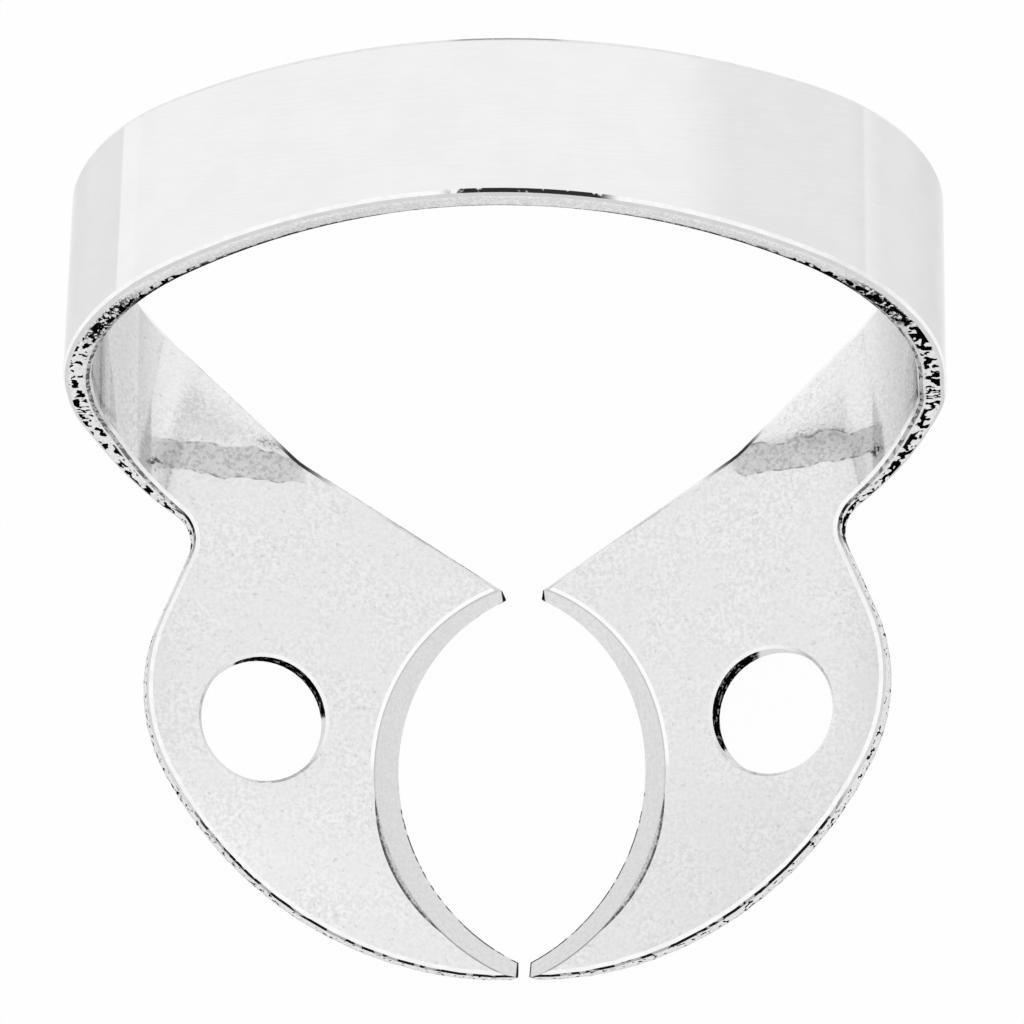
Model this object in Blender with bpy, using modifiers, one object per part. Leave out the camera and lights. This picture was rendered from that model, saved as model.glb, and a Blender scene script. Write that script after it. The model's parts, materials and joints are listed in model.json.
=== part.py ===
"""Wingless rubber dam clamp for a molar, modelled the way it is made.

One blank is cut from spring steel sheet. Its forceps holes are pierced, its tooth arcs are
ground to a knife edge, and it is then bent: each jaw bends up into an arm, and the arms run
into the bow that springs the jaws together. The two halves mirror each other.

The blank is drawn flat in two coordinates. U runs from the middle of the clamp outwards over
the jaw, round its bend and up the arm. V runs from front to back, with 0 at the middle of the
tooth opening. Units are metres, +Z is up, +Y points to the bow and X runs from jaw to jaw.
"""

from math import acos, asin, atan2, cos, hypot, pi, radians, sin, sqrt, tan

import bmesh
import bpy
from mathutils import Matrix, Vector

# Sheet
SHEET = 0.0007
EDGE_ROUND = 0.00014

# Jaw plate, sizes measured on the flat
JAW_SLOPE = radians(17.6)
PRONG_GAP = 0.00031
PRONG_RUN_OUT = 0.0001
FRONT_EDGE_V = -0.00526
FRONT_RADIUS = 0.0095
FRONT_TIP_ROUND = 0.0003
LOBE_CENTRE = (0.0053, 0.00183)
LOBE_RADIUS = 0.0044
NECK_DEPTH = 0.00031
NECK_CLEARANCE = 0.00069
NECK_ROUND = 0.0009

# Tooth arc and its ground bevel
TOOTH_CENTRE_U = -0.0021
TOOTH_RADIUS = 0.0052
TOOTH_LAND = 0.0001
GRIND_RADIUS = 0.00542
GRIND_SHIFT = (0.00055, -0.0002)
TOUCH_UP_RADIUS = 0.00415
TOUCH_UP_SHIFT = (0.00179, -0.00083)
TOUCH_UP_DEPTH = 0.00008
TOUCH_UP_ANGLE = radians(14.0)

# Forceps hole
HOLE_CENTRE = (0.0067, 0.0011)
HOLE_RADIUS = 0.0016
HOLE_CHAMFER = 0.00008

# Jaw bend and arm
BEND_START_U = 0.00864
BEND_RADIUS = 0.00283
ARM_FRONT_RUN = 0.00173
ARM_FRONT_ROUND = 0.003
BACK_EDGE_TIP_V = 0.0044
BACK_EDGE_ANGLE = radians(30.2)
BACK_KINK_U = 0.0058
BACK_KINK_ROUND = 0.002

# Bow
BOW_LEAN = radians(14.0)
BOW_RISE = 0.0003
SHOULDER_RADIUS = 0.005
CROWN_HALF_ANGLE = radians(26.8)
BOW_BACK = 0.0123
BOW_BACK_SWEEP = 0.0007
BOW_FRONT = 0.0079
BOW_FRONT_SWEEP = 0.0014
BOW_RUN_OUT = 0.0007
BOW_CORNER_ROUND = 0.0026

# Fineness of the curves
ARC_STEP = radians(5.0)
BEND_STEPS = 24
SHOULDER_STEPS = 22
CROWN_STEPS = 16
HOLE_SEGMENTS = 56
TOOTH_SEGMENTS = 160

# Worked out from the sizes above: the neck's corner lies just inside the line where the bend
# starts, and just clear of the lobe
NECK_U = BEND_START_U - NECK_DEPTH
NECK_REACH = LOBE_RADIUS + NECK_CLEARANCE
NECK_V = LOBE_CENTRE[1] + sqrt(NECK_REACH ** 2 - (NECK_U - LOBE_CENTRE[0]) ** 2)
NECK_CORNER = (NECK_U, NECK_V)

# Where the jaw bend ends and the upright arm begins
BEND_ANGLE = pi / 2 - JAW_SLOPE
BEND_CENTRE_X = BEND_START_U * cos(JAW_SLOPE) - BEND_RADIUS * sin(JAW_SLOPE)
BEND_CENTRE_Z = BEND_START_U * sin(JAW_SLOPE) + BEND_RADIUS * cos(JAW_SLOPE)
HALF_WIDTH = BEND_CENTRE_X + BEND_RADIUS
ARM_START_U = BEND_START_U + BEND_RADIUS * BEND_ANGLE

# The bow's arch stands on the line h = BOW_BASE, just above the end of the bend
BOW_BACK_BASE = BOW_BACK - BOW_BACK_SWEEP
BOW_FRONT_BASE = BOW_FRONT - BOW_FRONT_SWEEP
BOW_BASE = (BEND_CENTRE_Z + BOW_RISE + BOW_BACK_BASE * sin(BOW_LEAN)) / cos(BOW_LEAN)
CROWN_RADIUS = SHOULDER_RADIUS + (HALF_WIDTH - SHOULDER_RADIUS) / sin(CROWN_HALF_ANGLE)
SHOULDER_LENGTH = SHOULDER_RADIUS * (pi / 2 - CROWN_HALF_ANGLE)
CROWN_LENGTH = CROWN_RADIUS * CROWN_HALF_ANGLE

# Underside of the prong tips at the gap, which is the clamp's zero level
PRONG_LEVEL = 0.5 * PRONG_GAP * tan(JAW_SLOPE) - SHEET / cos(JAW_SLOPE)


def clear_scene():
    """Remove what a new Blender file holds."""
    for scene_object in list(bpy.data.objects):
        bpy.data.objects.remove(scene_object, do_unlink=True)


def arc(centre, radius, start, end):
    """Points along an arc, both ends included."""
    steps = max(2, round(abs(end - start) / ARC_STEP))
    angles = [start + (end - start) * i / steps for i in range(steps + 1)]
    return [(centre[0] + radius * cos(a), centre[1] + radius * sin(a)) for a in angles]


def fillet(before, corner, after, radius):
    """Points of an arc that rounds one corner of an outline."""
    corner = Vector(corner)
    to_before = (Vector(before) - corner).normalized()
    to_after = (Vector(after) - corner).normalized()
    half = 0.5 * to_before.angle(to_after)
    centre = corner + (to_before + to_after).normalized() * (radius / sin(half))
    start = corner + to_before * (radius * cos(half) / sin(half)) - centre
    turn = pi - 2 * half
    if start.x * to_after.y - start.y * to_after.x < 0:
        turn = -turn
    first = atan2(start.y, start.x)
    return arc(centre, radius, first, first + turn)


def front_and_lobe(inner):
    """The jaw's front edge from the prong outwards, and its lobe: two arcs that run into each other."""
    centre_v = FRONT_EDGE_V + FRONT_RADIUS
    rise = centre_v - LOBE_CENTRE[1]
    centre_u = LOBE_CENTRE[0] - sqrt((FRONT_RADIUS - LOBE_RADIUS) ** 2 - rise ** 2)
    tip = -pi / 2 - asin((centre_u - inner) / FRONT_RADIUS)
    joint = atan2(-rise, LOBE_CENTRE[0] - centre_u)
    to_neck = (NECK_CORNER[0] - LOBE_CENTRE[0], NECK_CORNER[1] - LOBE_CENTRE[1])
    flank = atan2(to_neck[1], to_neck[0]) - acos(LOBE_RADIUS / hypot(*to_neck))
    front = arc((centre_u, centre_v), FRONT_RADIUS, tip, joint)
    lobe = arc(LOBE_CENTRE, LOBE_RADIUS, joint, flank)
    return front, lobe[1:]


def bow_to_flat(rise, across):
    """Flat U and V of a point of the bow, from its height on the arch and its place across."""
    v = across * cos(BOW_LEAN) + rise * sin(BOW_LEAN)
    z = rise * cos(BOW_LEAN) - across * sin(BOW_LEAN)
    return (ARM_START_U + z - BEND_CENTRE_Z, v)


def arch_point(length, out):
    """X and height of the arch after a length from its base, at a depth from the inner face."""
    if length <= SHOULDER_LENGTH:
        angle = length / SHOULDER_RADIUS
        x = HALF_WIDTH - SHOULDER_RADIUS + (SHOULDER_RADIUS + out) * cos(angle)
        return x, BOW_BASE + (SHOULDER_RADIUS + out) * sin(angle)
    angle = (SHOULDER_LENGTH + CROWN_LENGTH - length) / CROWN_RADIUS
    centre = BOW_BASE - (CROWN_RADIUS - SHOULDER_RADIUS) * cos(CROWN_HALF_ANGLE)
    return (CROWN_RADIUS + out) * sin(angle), centre + (CROWN_RADIUS + out) * cos(angle)


def bow_stations():
    """Lengths along the arch at which the bow is bent, from its base to the middle."""
    shoulder = [SHOULDER_LENGTH * i / SHOULDER_STEPS for i in range(SHOULDER_STEPS)]
    crown = [SHOULDER_LENGTH + CROWN_LENGTH * i / CROWN_STEPS for i in range(CROWN_STEPS + 1)]
    return shoulder + crown


def bow_edge(middle, sweep):
    """One edge of the bow on the flat: it sweeps forward from the middle to the arms."""
    edge = []
    for length in bow_stations():
        share = arch_point(length, 0.0)[0] / HALF_WIDTH
        edge.append(bow_to_flat(BOW_BASE + length, middle - sweep * share ** 2))
    return edge


def blank_outline():
    """Outline of half of the flat blank, counter-clockwise, before the tooth arc is cut."""
    inner = -PRONG_RUN_OUT
    front, lobe = front_and_lobe(inner)
    tip_back = (inner, BACK_EDGE_TIP_V)
    kink_rise = (BACK_KINK_U - inner) * tan(BACK_EDGE_ANGLE)
    kink = (BACK_KINK_U, BACK_EDGE_TIP_V + kink_rise)
    bow_front = bow_edge(BOW_FRONT, BOW_FRONT_SWEEP)
    bow_back = bow_edge(BOW_BACK, BOW_BACK_SWEEP)
    front_corner = bow_to_flat(BOW_BASE - BOW_RUN_OUT, BOW_FRONT_BASE)
    back_corner = bow_to_flat(BOW_BASE - BOW_RUN_OUT, BOW_BACK_BASE)
    arm_corner = (front_corner[0] - ARM_FRONT_RUN, front_corner[1])

    outline = fillet(tip_back, front[0], front[1], FRONT_TIP_ROUND)
    outline += front[1:] + lobe
    outline += fillet(lobe[-1], NECK_CORNER, arm_corner, NECK_ROUND)
    outline += fillet(NECK_CORNER, arm_corner, front_corner, ARM_FRONT_ROUND)
    outline += fillet(arm_corner, front_corner, bow_front[0], BOW_CORNER_ROUND)
    outline += bow_front
    outline += bow_back[::-1]
    outline += fillet(bow_back[0], back_corner, kink, BOW_CORNER_ROUND)
    outline += fillet(back_corner, kink, tip_back, BACK_KINK_ROUND)
    outline.append(tip_back)
    return outline


def make_blank(collection):
    """Half of the blank as a flat plate with rounded edges. Its upper face lies at 0."""
    work = bmesh.new()
    corners = [work.verts.new((u, v, -SHEET)) for u, v in blank_outline()]
    face = work.faces.new(corners)
    raised = bmesh.ops.extrude_face_region(work, geom=[face])
    moved = [item for item in raised["geom"] if isinstance(item, bmesh.types.BMVert)]
    bmesh.ops.translate(work, verts=moved, vec=(0, 0, SHEET))
    bmesh.ops.recalc_face_normals(work, faces=work.faces)
    rims = [edge for edge in work.edges if is_rim(edge)]
    bmesh.ops.bevel(work, geom=rims, offset=EDGE_ROUND, segments=2, profile=0.5, affect="EDGES")
    mesh = bpy.data.meshes.new("dam_clamp")
    work.to_mesh(mesh)
    work.free()
    blank = bpy.data.objects.new("dam_clamp", mesh)
    collection.objects.link(blank)
    return blank


def is_rim(edge):
    """True for an edge round the plate's upper or lower face, but not at the bow's middle."""
    level = edge.verts[0].co.z == edge.verts[1].co.z
    return level and not all(at_middle(vertex.co) for vertex in edge.verts)


def at_middle(point):
    """True for a flat point on the line where the two halves of the bow meet."""
    rise = point.y * sin(BOW_LEAN) + (point.x - ARM_START_U + BEND_CENTRE_Z) * cos(BOW_LEAN)
    return rise > BOW_BASE + SHOULDER_LENGTH + CROWN_LENGTH - 1e-6


def ring(work, centre, radius, level, segments):
    """A closed ring of points at a level."""
    points = []
    for i in range(segments):
        angle = 2 * pi * (i + 0.5) / segments
        place = (centre[0] + radius * cos(angle), centre[1] + radius * sin(angle), level)
        points.append(work.verts.new(place))
    return points


def make_cutter(name, rings, segments, collection):
    """A turned cutter, loft through rings of (centre, radius, level) from bottom to top."""
    work = bmesh.new()
    loops = [ring(work, centre, radius, level, segments) for centre, radius, level in rings]
    for lower, upper in zip(loops, loops[1:]):
        for i in range(segments):
            j = (i + 1) % segments
            work.faces.new((lower[i], lower[j], upper[j], upper[i]))
    work.faces.new(loops[0][::-1])
    work.faces.new(loops[-1])
    return cutter_object(name, work, collection)


def cutter_object(name, work, collection):
    """An object for a cutter, shown as a wire only."""
    mesh = bpy.data.meshes.new(name)
    work.to_mesh(mesh)
    work.free()
    cutter = bpy.data.objects.new(name, mesh)
    collection.objects.link(cutter)
    cutter.hide_render = True
    cutter.display_type = "WIRE"
    return cutter


def hole_cutter(collection):
    """Pierces the forceps hole and breaks its two rims."""
    wide = HOLE_RADIUS + 2 * HOLE_CHAMFER
    rings = [
        (HOLE_CENTRE, wide, -SHEET - HOLE_CHAMFER),
        (HOLE_CENTRE, HOLE_RADIUS, HOLE_CHAMFER - SHEET),
        (HOLE_CENTRE, HOLE_RADIUS, -HOLE_CHAMFER),
        (HOLE_CENTRE, wide, HOLE_CHAMFER),
    ]
    return make_cutter("hole_cutter", rings, HOLE_SEGMENTS, collection)


def grind_cutter(collection):
    """Cuts the tooth arc and grinds a bevel that opens towards the upper face."""
    depth = SHEET - TOOTH_LAND
    over = 1.5
    centre = (TOOTH_CENTRE_U, 0.0)
    beyond = (TOOTH_CENTRE_U + GRIND_SHIFT[0] * over, GRIND_SHIFT[1] * over)
    wide = TOOTH_RADIUS + (GRIND_RADIUS - TOOTH_RADIUS) * over
    rings = [
        (centre, TOOTH_RADIUS, -2 * SHEET),
        (centre, TOOTH_RADIUS, -depth),
        (beyond, wide, depth * (over - 1)),
    ]
    return make_cutter("grind_cutter", rings, TOOTH_SEGMENTS, collection)


def touch_up_cutter(collection):
    """Breaks the upper edge of the bevel with a smaller wheel, in a crescent near the front prong."""
    centre = (TOOTH_CENTRE_U + TOUCH_UP_SHIFT[0], TOUCH_UP_SHIFT[1])
    spread = TOUCH_UP_DEPTH / tan(TOUCH_UP_ANGLE)
    rings = [
        (centre, TOUCH_UP_RADIUS - spread, -TOUCH_UP_DEPTH),
        (centre, TOUCH_UP_RADIUS + spread, TOUCH_UP_DEPTH),
    ]
    return make_cutter("touch_up_cutter", rings, TOOTH_SEGMENTS, collection)


def trim_cutter(collection):
    """Trims the prongs so that their ends stand upright along the gap once the jaws are bent."""
    size = 4 * LOBE_RADIUS
    work = bmesh.new()
    bmesh.ops.create_cube(work, size=size)
    bmesh.ops.translate(work, verts=work.verts, vec=(0.5 * (PRONG_GAP - size), 0, 0))
    bmesh.ops.rotate(work, verts=work.verts, cent=(0, 0, 0), matrix=Matrix.Rotation(JAW_SLOPE, 3, "Y"))
    return cutter_object("trim_cutter", work, collection)


def split_long_faces(mesh):
    """Turn the faces with many corners into triangles, which the cuts go through cleanly."""
    work = bmesh.new()
    work.from_mesh(mesh)
    bmesh.ops.triangulate(work, faces=[face for face in work.faces if len(face.verts) > 4])
    work.to_mesh(mesh)
    work.free()


def cut(target, cutter):
    """Apply a Boolean difference to the target."""
    modifier = target.modifiers.new("cut", "BOOLEAN")
    modifier.operation = "DIFFERENCE"
    modifier.solver = "EXACT"
    modifier.object = cutter
    graph = bpy.context.evaluated_depsgraph_get()
    mesh = bpy.data.meshes.new_from_object(target.evaluated_get(graph))
    target.modifiers.clear()
    target.data = mesh


def slice_for_bending(work):
    """Add an edge across the sheet wherever it bends, so that the bends come out round."""
    slice_sheet(work, work.faces, Vector((BEND_START_U, 0, 0)), Vector((1, 0, 0)))
    for i in range(1, BEND_STEPS + 1):
        u = BEND_START_U + (ARM_START_U - BEND_START_U) * i / BEND_STEPS
        slice_sheet(work, arm_faces(work), Vector((u, 0, 0)), Vector((1, 0, 0)))
    along = Vector((cos(BOW_LEAN), sin(BOW_LEAN), 0))
    for length in bow_stations()[:-1]:
        u, v = bow_to_flat(BOW_BASE + length, 0.0)
        slice_sheet(work, arm_faces(work), Vector((u, v, 0)), along)


def arm_faces(work):
    """The faces beyond the neck. The lobe in front of it stays flat and takes no bend."""
    return [face for face in work.faces if face.calc_center_median().y > NECK_V]


def slice_sheet(work, faces, point, normal):
    """Cut the given faces along a plane and keep both sides."""
    edges = {edge for face in faces for edge in face.edges}
    verts = {vertex for face in faces for vertex in face.verts}
    geometry = list(verts) + list(edges) + list(faces)
    bmesh.ops.bisect_plane(work, geom=geometry, dist=1e-8, plane_co=point, plane_no=normal)


def bend_point(flat):
    """Carry a point of the flat sheet to its place on the finished clamp."""
    u, v, out = flat.x, flat.y, -flat.z
    if u <= BEND_START_U or v < NECK_V:
        x = u * cos(JAW_SLOPE) + out * sin(JAW_SLOPE)
        return Vector((x, v, u * sin(JAW_SLOPE) - out * cos(JAW_SLOPE)))
    if u < ARM_START_U:
        angle = JAW_SLOPE + (u - BEND_START_U) / BEND_RADIUS
        radius = BEND_RADIUS + out
        return Vector((BEND_CENTRE_X + radius * sin(angle), v, BEND_CENTRE_Z - radius * cos(angle)))
    z = u - ARM_START_U + BEND_CENTRE_Z
    rise = v * sin(BOW_LEAN) + z * cos(BOW_LEAN)
    if rise <= BOW_BASE:
        return Vector((HALF_WIDTH + out, v, z))
    across = v * cos(BOW_LEAN) - z * sin(BOW_LEAN)
    x, height = arch_point(rise - BOW_BASE, out)
    y = across * cos(BOW_LEAN) + height * sin(BOW_LEAN)
    return Vector((x, y, height * cos(BOW_LEAN) - across * sin(BOW_LEAN)))


def bend_blank(blank):
    """Bend the cut blank and open it at the middle, where its mirror half joins on."""
    work = bmesh.new()
    work.from_mesh(blank.data)
    slice_for_bending(work)
    middle = [face for face in work.faces if all(at_middle(vertex.co) for vertex in face.verts)]
    bmesh.ops.delete(work, geom=middle, context="FACES_KEEP_BOUNDARY")
    bmesh.ops.triangulate(work, faces=[face for face in work.faces if len(face.verts) > 4])
    for vertex in work.verts:
        on_middle = at_middle(vertex.co)
        vertex.co = bend_point(vertex.co) - Vector((0, 0, PRONG_LEVEL))
        if on_middle:
            vertex.co.x = 0.0
    work.to_mesh(blank.data)
    work.free()


def mirror_half(blank):
    """Add the other half of the clamp."""
    modifier = blank.modifiers.new("other_half", "MIRROR")
    modifier.use_axis = (True, False, False)
    modifier.use_mirror_merge = True
    modifier.merge_threshold = 0.000001


def make_steel():
    """Bright satin stainless spring steel."""
    steel = bpy.data.materials.new("stainless_steel")
    steel.use_nodes = True
    shader = steel.node_tree.nodes["Principled BSDF"]
    shader.inputs["Base Color"].default_value = (0.78, 0.78, 0.78, 1.0)
    shader.inputs["Metallic"].default_value = 1.0
    shader.inputs["Roughness"].default_value = 0.28
    return steel


def new_collection(name):
    """Make a collection in the scene."""
    collection = bpy.data.collections.new(name)
    bpy.context.scene.collection.children.link(collection)
    return collection


def main():
    """Build the clamp."""
    clear_scene()
    parts = new_collection("rubber_dam_clamp")
    cutters = new_collection("cutters")
    clamp = make_blank(parts)
    split_long_faces(clamp.data)
    cut(clamp, hole_cutter(cutters))
    cut(clamp, grind_cutter(cutters))
    cut(clamp, touch_up_cutter(cutters))
    cut(clamp, trim_cutter(cutters))
    bend_blank(clamp)
    mirror_half(clamp)
    clamp.data.materials.append(make_steel())
    clamp.data.shade_smooth()
    clamp.data.set_sharp_from_angle(angle=radians(30.0))


main()
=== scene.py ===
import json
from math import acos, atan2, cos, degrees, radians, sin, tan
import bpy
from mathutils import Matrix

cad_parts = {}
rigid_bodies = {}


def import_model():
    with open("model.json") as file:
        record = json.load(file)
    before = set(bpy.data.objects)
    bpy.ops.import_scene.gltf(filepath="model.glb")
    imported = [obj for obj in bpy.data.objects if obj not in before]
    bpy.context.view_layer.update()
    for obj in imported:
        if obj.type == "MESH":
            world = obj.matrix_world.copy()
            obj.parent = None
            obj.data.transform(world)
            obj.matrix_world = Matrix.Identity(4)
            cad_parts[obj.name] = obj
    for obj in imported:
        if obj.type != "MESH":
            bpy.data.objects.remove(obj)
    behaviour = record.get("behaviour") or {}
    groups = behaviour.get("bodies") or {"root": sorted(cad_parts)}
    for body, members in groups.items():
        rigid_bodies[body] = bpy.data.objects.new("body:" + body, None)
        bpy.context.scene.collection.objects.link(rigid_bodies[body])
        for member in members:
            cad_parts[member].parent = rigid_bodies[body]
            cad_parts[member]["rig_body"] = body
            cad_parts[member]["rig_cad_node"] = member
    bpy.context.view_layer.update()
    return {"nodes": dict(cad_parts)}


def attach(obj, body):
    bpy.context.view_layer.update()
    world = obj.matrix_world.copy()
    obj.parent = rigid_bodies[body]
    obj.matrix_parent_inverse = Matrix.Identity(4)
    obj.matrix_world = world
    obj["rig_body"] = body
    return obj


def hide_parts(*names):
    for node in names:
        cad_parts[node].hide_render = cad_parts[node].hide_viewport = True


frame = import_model()

# %% [markdown]
# # Dressing a rubber dam clamp
# The frame holds the finished solid of the clamp: one blank of spring steel, bent into two jaws
# and a bow. This lesson gives it the looks of the real one. The faces are polished, with a fine
# speckle on the jaws. The thin line of light along every rim is a painted highlight, and the walls
# that the punch left are rougher, with dark marks in them. Some shade and reflections are painted
# into the steel too. All lengths are in metres.

# %% Tools and the frame's solid
from types import SimpleNamespace

import bpy
from mathutils import Matrix, Vector

solid = frame["nodes"]["dam_clamp"]

# %% [markdown]
# ## A copy to dress
# The solid from the frame is loose triangles, and it is left as it is. A copy of it is joined up
# instead: merging the corners that lie on top of each other makes one closed skin. The copy could
# be modelled again by hand, but then the picture and the solid would slowly part ways.

# %% Join the copy into one skin
bpy.ops.object.select_all(action="DESELECT")
clamp = solid.copy()
clamp.data = solid.data.copy()
clamp.name = "clamp"
clamp.data.name = "clamp"
clamp.parent = None
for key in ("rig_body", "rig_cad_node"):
    del clamp[key]
bpy.context.scene.collection.objects.link(clamp)
clamp.select_set(True)
bpy.context.view_layer.objects.active = clamp
bpy.ops.object.mode_set(mode="EDIT")
bpy.ops.mesh.select_all(action="SELECT")
bpy.ops.mesh.remove_doubles(threshold=0.0000005)
bpy.ops.mesh.select_all(action="DESELECT")
bpy.ops.object.mode_set(mode="OBJECT")
print("corners in the skin:", len(clamp.data.vertices))

# %% [markdown]
# ## Which way the sheet faces
# A steel mirror shows every small tilt of its surface, and the short flats of a bent sheet would
# show as stripes. The maker's bends are round, though: the jaw bend, the two shoulders and the
# crown of the bow are parts of cylinders, and the jaws are flat. So the exact direction that the
# sheet faces at any place is worked out from those few sizes. The same sum tells how deep a place
# lies in the sheet, from 0 at its upper or inner face to the sheet's thickness at the other one.

# %% Sizes of the bent sheet
SHEET = 0.0007
JAW_SLOPE = radians(17.6)
PRONG_LEVEL = -0.000685
BEND_START = 0.00864
BEND_RADIUS = 0.00283
NECK_Y = 0.00592
BOW_LEAN = radians(14.0)
HALF_WIDTH = 0.01021
BOW_BASE = 0.008674
SHOULDER_RADIUS = 0.005
CROWN_HALF_ANGLE = radians(26.8)

shoulder_x = HALF_WIDTH - SHOULDER_RADIUS
bend_centre_x = BEND_START * cos(JAW_SLOPE) - BEND_RADIUS * sin(JAW_SLOPE)
bend_centre_z = BEND_START * sin(JAW_SLOPE) + BEND_RADIUS * cos(JAW_SLOPE)
crown_radius = SHOULDER_RADIUS + shoulder_x / sin(CROWN_HALF_ANGLE)
crown_drop = shoulder_x / tan(CROWN_HALF_ANGLE)
print("radius of the crown in mm:", round(1000 * crown_radius, 2))

# %% Direction and depth of the sheet at a place
def bow_at(side, x, rise):
    """Direction and depth in the bow, from the place on its arch."""
    centre_x, centre_rise, radius = shoulder_x, BOW_BASE, SHOULDER_RADIUS
    if x - centre_x < (rise - centre_rise) * tan(CROWN_HALF_ANGLE):
        centre_x, centre_rise, radius = 0.0, BOW_BASE - crown_drop, crown_radius
    spoke = Vector((x - centre_x, rise - centre_rise))
    out = spoke.normalized()
    inwards = Vector((-side * out.x, -out.y * sin(BOW_LEAN), -out.y * cos(BOW_LEAN)))
    return inwards, spoke.length - radius


def sheet_at(place):
    """The direction that the sheet's upper, inner face has at a place, and the depth below it."""
    side = 1 if place.x > 0 else -1
    x, z = abs(place.x), place.z + PRONG_LEVEL
    rise = place.y * sin(BOW_LEAN) + z * cos(BOW_LEAN)
    if rise > BOW_BASE and z > bend_centre_z:
        return bow_at(side, x, rise)
    if z > bend_centre_z:
        return Vector((-side, 0, 0)), x - HALF_WIDTH
    spoke = Vector((x - bend_centre_x, bend_centre_z - z))
    out = spoke.normalized()
    if atan2(out.x, out.y) > JAW_SLOPE and place.y > NECK_Y:
        return Vector((-side * out.x, 0, out.y)), spoke.length - BEND_RADIUS
    upwards = Vector((-side * sin(JAW_SLOPE), 0, cos(JAW_SLOPE)))
    return upwards, x * sin(JAW_SLOPE) - z * cos(JAW_SLOPE)


def sheet_direction(place):
    """The direction of the sheet alone."""
    return sheet_at(place)[0]


depths = [sheet_at(corner.co)[1] for corner in clamp.data.vertices]
print("depths in mm:", round(1000 * min(depths), 3), "to", round(1000 * max(depths), 3))

# %% [markdown]
# The depth is kept on the skin as an attribute that runs from 0 to 1, so that a material can put a
# mark at the middle of a wall or along one of its rims, whichever way the wall turns.

# %% Keep the depth on the skin
depth_layer = clamp.data.attributes.new("depth", "FLOAT", "POINT")
for corner, depth in enumerate(depths):
    depth_layer.data[corner].value = min(1.0, max(0.0, depth / SHEET))
print("corners with a depth:", len(depth_layer.data))

# %% [markdown]
# ## Telling the sheet's faces apart
# One material can't do for the whole clamp, because its faces were finished in different ways.
# How far a face leans from the direction of the sheet tells them apart: a broad face doesn't
# lean, a cut wall stands square to the sheet, and the rounded rims lie between the two. The
# bevels ground for the tooth and the walls of the forceps holes are told by their place on the
# flat jaw, where U runs outwards along the slope and V is Y.

# %% Place on the flat jaw
JAW_TOP = 0.004
TOOTH_CENTRE = Vector((-0.0021, 0.0))
TOOTH_RADIUS = 0.0052
GRIND_CENTRE = Vector((-0.00155, -0.0002))
GRIND_RADIUS = 0.00542
HOLE_CENTRE = Vector((0.0067, 0.0011))
HOLE_RADIUS = 0.0016


def on_flat_jaw(place):
    """U and V of a place on a jaw."""
    u = abs(place.x) * cos(JAW_SLOPE) + (place.z + PRONG_LEVEL) * sin(JAW_SLOPE)
    return Vector((u, place.y))


on_jaws = [on_flat_jaw(corner.co) for corner in clamp.data.vertices if corner.co.z < JAW_TOP]
near_hole = [flat for flat in on_jaws if (flat - HOLE_CENTRE).length < HOLE_RADIUS + 0.00001]
print("corners on the walls of the two holes:", len(near_hole))

# %% [markdown]
# The leans below, in degrees, are the borders between the finishes. The crescent that a smaller
# wheel broke into the upper edge of the bevel leans 14 degrees and the bevel leans far more, so
# a border of 17 parts the two.

# %% Borders between the finishes
FINISHES = ["satin_jaw", "polished_bow", "bow_inside", "painted_highlight_rim", "painted_dark_line",
            "sheared_wall", "pierced_wall", "ground_bevel", "touched_up", "tooth_edge"]
RIM_LEAN = 12
BEVEL_LEAN = 17
LINE_LEAN = 50
WALL_LEAN = 80
TOOTH_REACH = 0.0065
UNDERSIDE_TOP = 0.0035
ARCH_START = 0.0095


def lean_of(face):
    """Angle between a face and the sheet's nearer side."""
    share = face.normal.dot(sheet_direction(face.center))
    return degrees(acos(min(1.0, abs(share))))


def looks_at_tooth(face):
    """True for a face near the tooth arc that is turned towards the tooth's axis."""
    if face.center.z > JAW_TOP:
        return False
    to_axis = TOOTH_CENTRE - on_flat_jaw(face.center)
    side = 1 if face.center.x > 0 else -1
    along = side * face.normal.x * cos(JAW_SLOPE) + face.normal.z * sin(JAW_SLOPE)
    turned = Vector((along, face.normal.y))
    if to_axis.length > TOOTH_REACH or turned.length < 0.1:
        return False
    return turned.dot(to_axis) > 0.8 * turned.length * to_axis.length


print("finishes to tell apart:", len(FINISHES))

# %% Name the finish of every face
def jaw_finish(face, lean):
    """The finish of a face that lies on the tooth arc or in a hole, or nothing."""
    if looks_at_tooth(face):
        if lean > WALL_LEAN:
            return "tooth_edge"
        return "ground_bevel" if lean > BEVEL_LEAN else "touched_up"
    in_hole = (on_flat_jaw(face.center) - HOLE_CENTRE).length < HOLE_RADIUS + 0.00003
    return "pierced_wall" if in_hole and face.center.z < JAW_TOP and lean > WALL_LEAN else None


def finish_of(face):
    """The finish that a face of the clamp gets."""
    lean = lean_of(face)
    special = jaw_finish(face, lean)
    if special:
        return special
    if lean > WALL_LEAN:
        return "sheared_wall"
    if lean > LINE_LEAN:
        return "painted_dark_line"
    if lean > RIM_LEAN:
        return "painted_highlight_rim"
    inner = face.normal.dot(sheet_direction(face.center)) > 0
    if inner and face.center.z > ARCH_START:
        return "bow_inside"
    return "satin_jaw" if inner or face.center.z < UNDERSIDE_TOP else "polished_bow"


face_finish = [finish_of(face) for face in clamp.data.polygons]
print("faces of each finish:", {name: face_finish.count(name) for name in FINISHES})

# %% [markdown]
# ## Smooth light on the broad and the ground faces
# Shading is made smooth within each face and stays crisp across the rims. The broad faces are
# then lent the exact direction of the sheet, so that reflections run over the bends unbroken. The
# ground bevel and the crescent have exact directions too. The bevel is a cone whose axis leans
# from the centre of the tooth arc to the centre of the grinding. The crescent is a shallow cone.
# More and smaller facets would come close to this, but the solid's own facets can stay.

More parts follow.
